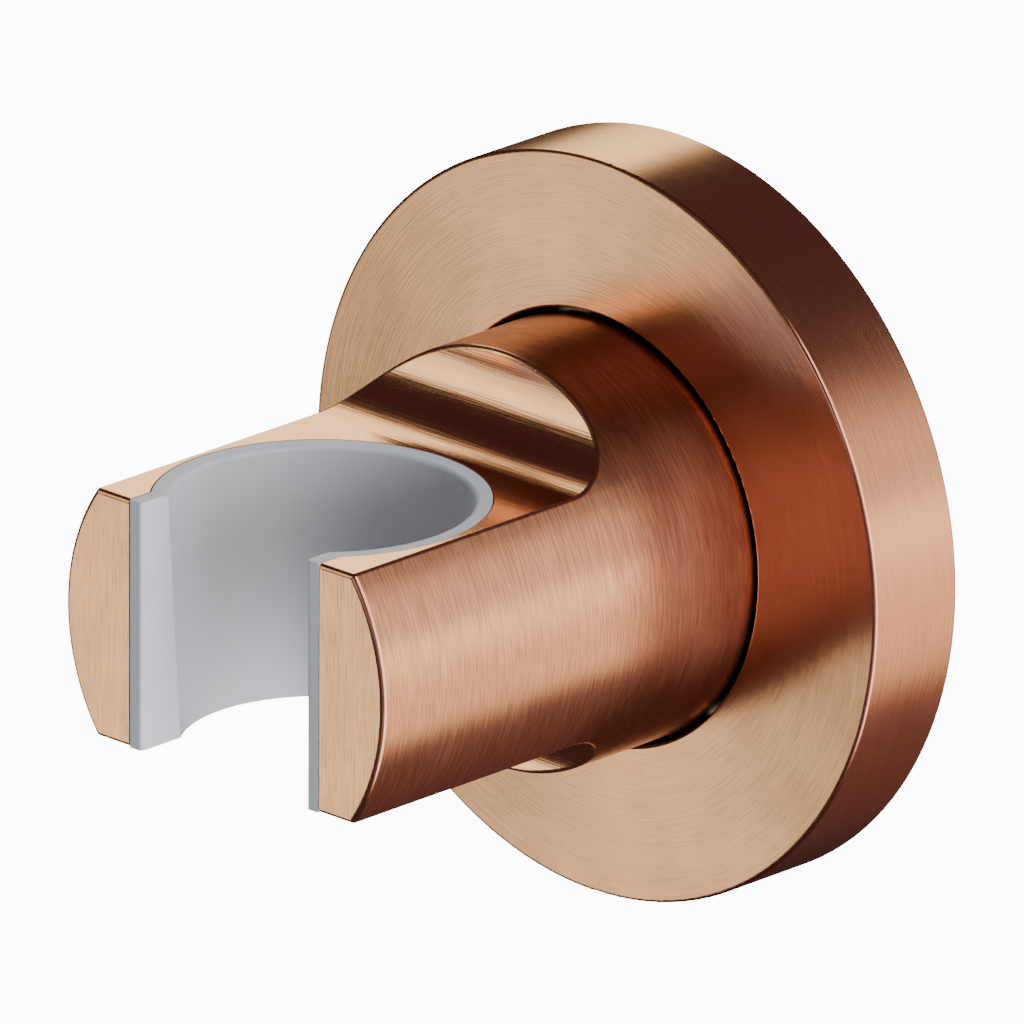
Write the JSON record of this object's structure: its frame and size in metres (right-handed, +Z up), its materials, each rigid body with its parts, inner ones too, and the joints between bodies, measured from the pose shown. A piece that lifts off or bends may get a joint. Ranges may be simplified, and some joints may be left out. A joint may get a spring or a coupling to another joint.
{
  "type": "hand shower holder",
  "caption": "Round arm that turns in a thick wall rosette, its end milled flat and open as a slotted conical socket with a plastic liner for a shower hose nut.",
  "frame": {"origin": "centre of the back of the wall plate, in the plane of the wall", "axes": "+Y into the wall along the arm's axis, so the arm points to -Y; +Z up, along the socket's cone; +X to the right as seen from the room"},
  "size_m": [0.06, 0.0496, 0.06],
  "materials": {
    "copper_finish": "fine brushed copper finish on turned brass",
    "liner_plastic": "satin moulded light grey plastic",
    "plate_steel": "turned stainless steel",
    "screw_steel": "stainless steel, as machined",
    "spigot_brass": "turned bare brass",
    "ring_rubber": "matt black rubber",
    "seal_rubber": "matt closed-cell rubber",
    "washer_plastic": "slippery off-white plastic"
  },
  "bodies": {
    "wall_side": {"rosette": "copper_finish", "rosette_seal": "seal_rubber", "wall_plate": "plate_steel", "plate_ring": "ring_rubber", "spigot": "spigot_brass", "spigot_washer": "screw_steel", "spigot_screw": "screw_steel", "rear_friction_ring": "ring_rubber", "front_friction_ring": "ring_rubber", "thrust_washer": "washer_plastic"},
    "arm": {"arm_body": "copper_finish", "cone_liner": "liner_plastic", "arm_grub_screw": "screw_steel", "grub_pad": "washer_plastic"}
  },
  "joints": [
    {"name": "arm_turn", "type": "hinge", "parent": "wall_side", "child": "arm", "pos_m": [0, -0.0141, 0], "axis": [0, -1, 0], "range_deg": [-90, 90]}
  ]
}
